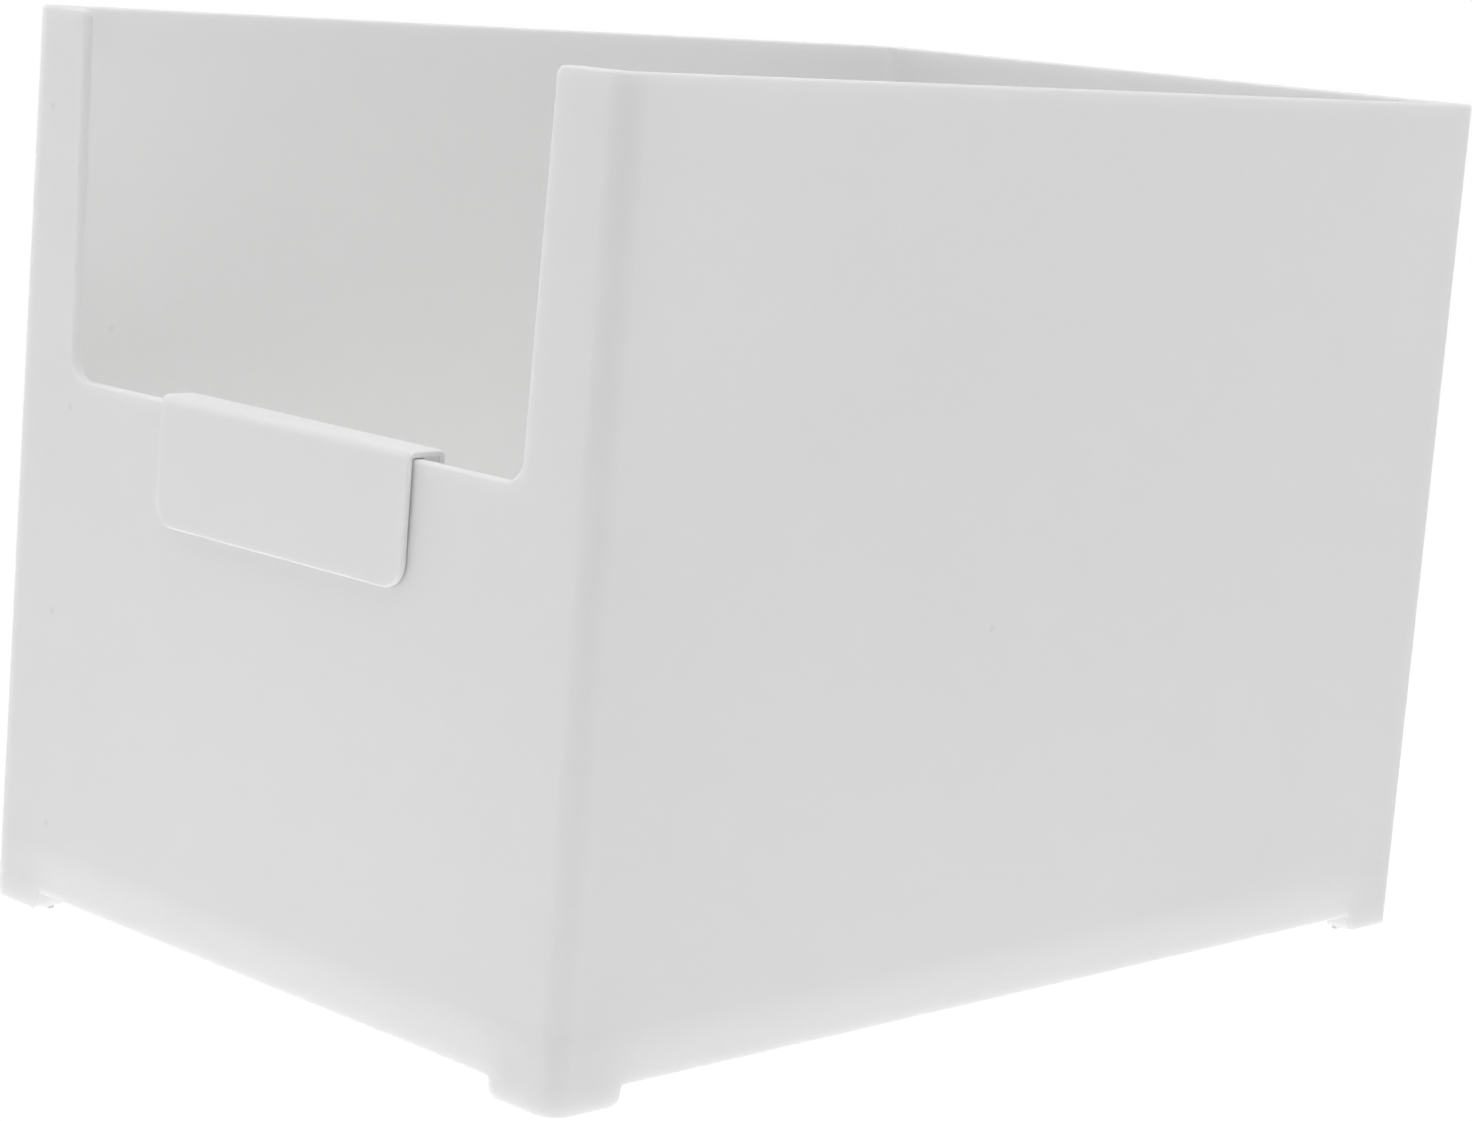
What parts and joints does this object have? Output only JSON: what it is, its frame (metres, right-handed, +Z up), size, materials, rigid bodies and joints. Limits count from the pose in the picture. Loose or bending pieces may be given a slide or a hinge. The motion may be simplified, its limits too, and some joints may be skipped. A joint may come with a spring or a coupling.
{
  "type": "desktop storage box",
  "caption": "Open-top moulded desktop storage bin with a cut-out front, a raised floor, stacking corner feet and a lift-off label clip on the front rim.",
  "frame": {"origin": "under the middle of the bin, at the level of the lowest faces of its feet", "axes": "+Z up, -Y towards the cut-out front with the label clip, +X to the right when facing the front"},
  "size_m": [0.169, 0.2557, 0.181],
  "materials": {
    "shell_plastic": "milky white polypropylene, fine spark-eroded matt grain",
    "clip_plastic": "milky white polypropylene, smoother satin"
  },
  "bodies": {
    "bin": {"box_shell": "shell_plastic"},
    "clip": {"label_clip": "clip_plastic"}
  },
  "joints": [
    {"name": "clip_lift", "type": "slide", "parent": "bin", "child": "clip", "axis": [0, 0, 1], "range_m": [0, 0.1]}
  ]
}
